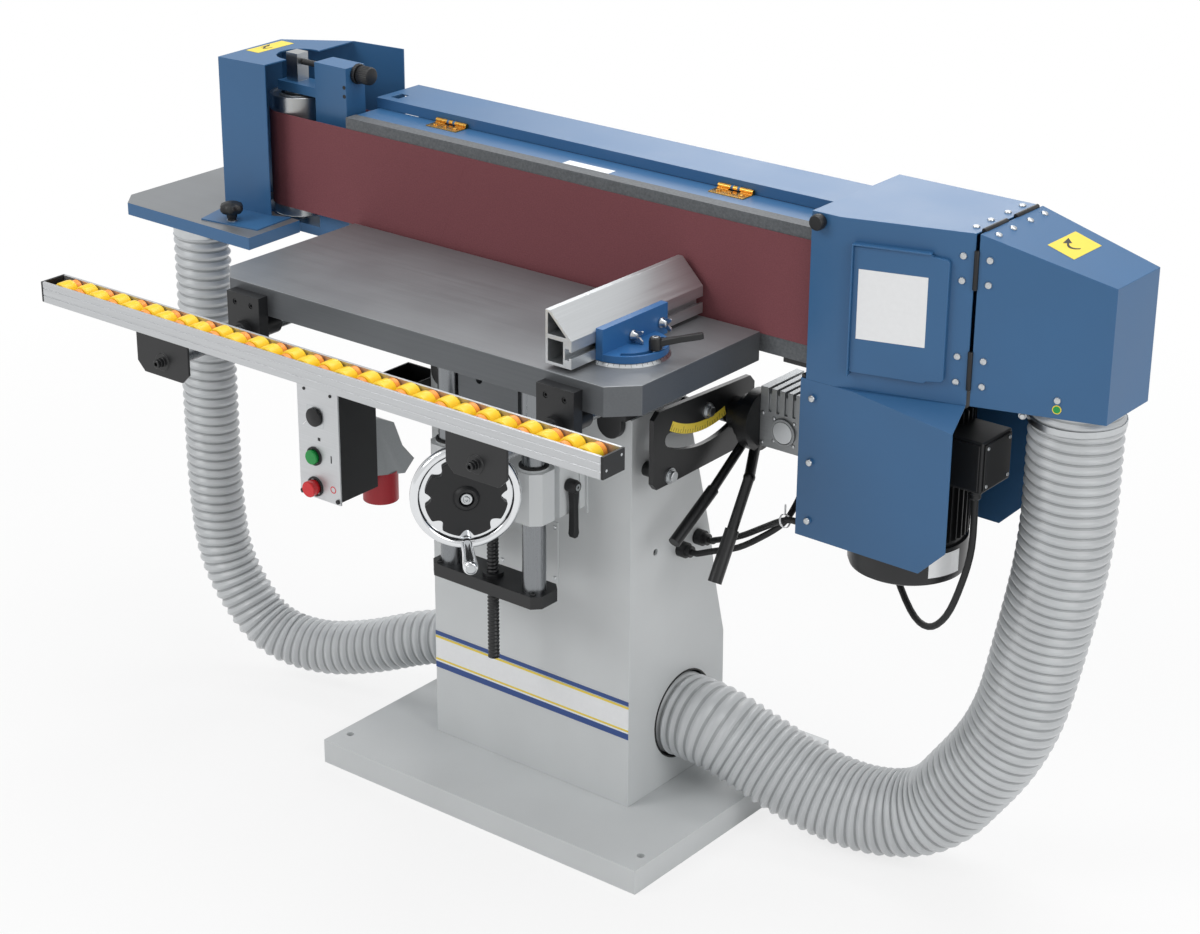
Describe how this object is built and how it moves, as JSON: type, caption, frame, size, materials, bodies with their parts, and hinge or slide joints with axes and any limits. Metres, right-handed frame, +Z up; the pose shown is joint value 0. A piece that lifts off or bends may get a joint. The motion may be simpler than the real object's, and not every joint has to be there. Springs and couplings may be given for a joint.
{
  "type": "edge sander",
  "caption": "Floor-standing edge sander: column with lifting table, tilting belt head with drive and idle covers, roller rail, mitre fence and ribbed dust hoses.",
  "frame": {"origin": "centre of the floor-bolt pattern on the underside of the base plate", "axes": "+X along the belt from the idle end to the drive end, +Y from the operator's side to the back, +Z up"},
  "size_m": [1.658, 0.7785, 1.052],
  "materials": {
    "column_paint": "satin light grey powder coat",
    "blue_paint": "satin blue powder coat",
    "black_paint": "semi-gloss black powder coat",
    "bright_steel": "bright turned steel",
    "zinc_steel": "zinc-plated steel",
    "chrome": "polished chrome",
    "iron": "ground cast iron",
    "aluminium": "satin aluminium",
    "light_blue": "satin blue paint",
    "black_plastic": "matte black moulded plastic",
    "grey_plastic": "matte grey moulded plastic",
    "yellow_plastic": "glossy yellow-orange moulded rollers",
    "green_plastic": "glossy green",
    "red_plastic": "glossy red",
    "abrasive": "coated abrasive cloth, maroon-brown",
    "graphite": "graphite-coated steel platen",
    "brass": "polished brass",
    "hose": "translucent grey ribbed polyurethane",
    "cable": "black cable sheath"
  },
  "bodies": {
    "frame": {"base_plate": "column_paint", "column": "column_paint", "guide_block": "column_paint", "trunnions": "black_paint", "quadrant_plate": "black_paint", "dust_duct": "zinc_steel", "control_box": "black_plastic", "control_panel": "aluminium", "power_inlet": "grey_plastic", "cable_glands": "black_plastic", "left_hose": "hose", "right_hose": "hose", "control_cables": "cable"},
    "table": {"guide_posts": "bright_steel", "bottom_bar": "black_paint", "crosshead": "iron", "table": "iron", "rail_brackets": "black_paint", "mitre_base": "bright_steel"},
    "screw": {"lift_screw": "bright_steel"},
    "wheel": {"handwheel": "chrome", "handwheel_hub": "black_plastic"},
    "grip": {"wheel_grip": "chrome"},
    "rail": {"roller_rail": "aluminium", "rail_end_caps": "black_plastic", "rail_rollers": "yellow_plastic", "rail_hangers": "black_paint"},
    "mitre": {"mitre_head": "light_blue"},
    "fence": {"fence": "aluminium"},
    "mitre_lever": {"mitre_lever": "black_plastic"},
    "wing_front": {"wing_bolt_front": "zinc_steel"},
    "wing_rear": {"wing_bolt_rear": "zinc_steel"},
    "post_lever": {"post_lock_lever": "black_plastic"},
    "head": {"head_beam": "blue_paint", "platen": "graphite", "belt": "abrasive", "idle_bracket": "blue_paint", "idle_cover": "blue_paint", "small_table": "blue_paint", "guard_hinges": "brass", "drive_cover": "blue_paint", "end_cover": "blue_paint", "cover_connectors": "black_plastic", "motor": "black_paint", "motor_lead": "cable", "motor_cover": "blue_paint", "head_frame": "black_paint", "gearbox": "aluminium", "lock_boss": "black_paint", "hose_collars": "zinc_steel"},
    "idle_drum": {"idle_drum": "bright_steel"},
    "tracking": {"tracking_knob": "black_plastic"},
    "idle_knob": {"idle_cover_knob": "black_plastic"},
    "guard": {"rear_guard": "blue_paint"},
    "cover_knob": {"cover_knob": "black_plastic"},
    "lock_lever": {"lock_lever": "black_paint"},
    "drive_drum": {"drive_drum": "bright_steel"},
    "rotary": {"rotary_switch": "black_plastic"},
    "green": {"green_button": "green_plastic"},
    "red": {"red_button": "red_plastic"}
  },
  "joints": [
    {"name": "handwheel_spin", "type": "hinge", "parent": "frame", "child": "wheel", "pos_m": [-0.03111, -0.22861, 0.571], "axis": [0.7071, -0.7071, 0], "range_deg": [0, 7649]},
    {"name": "table_lift", "type": "slide", "parent": "frame", "child": "table", "axis": [0, 0, 1], "range_m": [0, 0.085]},
    {"name": "lift_screw_spin", "type": "hinge", "parent": "frame", "child": "screw", "pos_m": [0, -0.1975, 0.5], "axis": [0, 0, 1], "range_deg": [-3825, 0]},
    {"name": "grip_spin", "type": "hinge", "parent": "wheel", "child": "grip", "pos_m": [0.06788, -0.32761, 0.498], "axis": [0.7071, -0.7071, 0], "continuous": true},
    {"name": "rail_slide", "type": "slide", "parent": "table", "child": "rail", "axis": [0, -1, 0], "range_m": [0, 0.11]},
    {"name": "mitre_swivel", "type": "hinge", "parent": "table", "child": "mitre", "pos_m": [0.262, -0.2235, 0.83], "axis": [0, 0, 1], "range_deg": [-30, 45]},
    {"name": "fence_slide", "type": "slide", "parent": "mitre", "child": "fence", "axis": [0, -1, 0], "range_m": [0, 0.06]},
    {"name": "mitre_lever_turn", "type": "hinge", "parent": "table", "child": "mitre_lever", "pos_m": [0.312, -0.2235, 0.85], "axis": [0, 0, 1], "range_deg": [-30, 20]},
    {"name": "wing_front_turn", "type": "hinge", "parent": "mitre", "child": "wing_front", "pos_m": [0.275, -0.2185, 0.845], "axis": [1, 0, 0], "continuous": true},
    {"name": "wing_rear_turn", "type": "hinge", "parent": "mitre", "child": "wing_rear", "pos_m": [0.275, -0.1545, 0.845], "axis": [1, 0, 0], "continuous": true},
    {"name": "post_lock_turn", "type": "hinge", "parent": "frame", "child": "post_lever", "pos_m": [0.117, -0.1535, 0.56], "axis": [-1, 0, 0], "range_deg": [0, 90]},
    {"name": "head_tilt", "type": "hinge", "parent": "frame", "child": "head", "pos_m": [0, 0.0045, 0.806], "axis": [-1, 0, 0], "range_deg": [0, 45], "deforming": ["left_hose", "right_hose", "control_cables"]},
    {"name": "drive_drum_spin", "type": "hinge", "parent": "head", "child": "drive_drum", "pos_m": [0.544, 0.0665, 0.9], "axis": [0, 0, 1], "continuous": true},
    {"name": "idle_drum_spin", "type": "hinge", "parent": "head", "child": "idle_drum", "pos_m": [-0.573, 0.013, 0.9], "axis": [0, 0, 1], "continuous": true},
    {"name": "tracking_turn", "type": "hinge", "parent": "head", "child": "tracking", "pos_m": [-0.5, 0.013, 1.038], "axis": [1, 0, 0], "continuous": true},
    {"name": "idle_knob_turn", "type": "hinge", "parent": "head", "child": "idle_knob", "pos_m": [-0.595, -0.1215, 0.81], "axis": [0, 0, 1], "continuous": true},
    {"name": "guard_open", "type": "hinge", "parent": "head", "child": "guard", "pos_m": [0, 0.0407, 0.9845], "axis": [1, 0, 0], "range_deg": [0, 90]},
    {"name": "cover_knob_turn", "type": "hinge", "parent": "head", "child": "cover_knob", "pos_m": [0.448, -0.05, 0.998], "axis": [0, 1, 0], "continuous": true},
    {"name": "lock_lever_turn", "type": "hinge", "parent": "head", "child": "lock_lever", "pos_m": [0.2596, 0.07606, 0.63323], "axis": [-1, 0, 0], "range_deg": [-20, 25]},
    {"name": "switch_turn", "type": "hinge", "parent": "frame", "child": "rotary", "pos_m": [-0.319, -0.24, 0.581], "axis": [0, 1, 0], "range_deg": [0, 90]},
    {"name": "green_press", "type": "slide", "parent": "frame", "child": "green", "axis": [0, 1, 0], "range_m": [0, 0.003], "stiffness_N_per_m": 500, "springref_m": -0.001},
    {"name": "red_press", "type": "slide", "parent": "frame", "child": "red", "axis": [0, 1, 0], "range_m": [0, 0.003], "stiffness_N_per_m": 500, "springref_m": -0.001}
  ],
  "couplings": [
    {"joint": "table_lift", "follows": "handwheel_spin", "m_per_rad": 0.00063662},
    {"joint": "lift_screw_spin", "follows": "handwheel_spin", "ratio": -0.5},
    {"joint": "idle_drum_spin", "follows": "drive_drum_spin", "ratio": 1.4444}
  ]
}
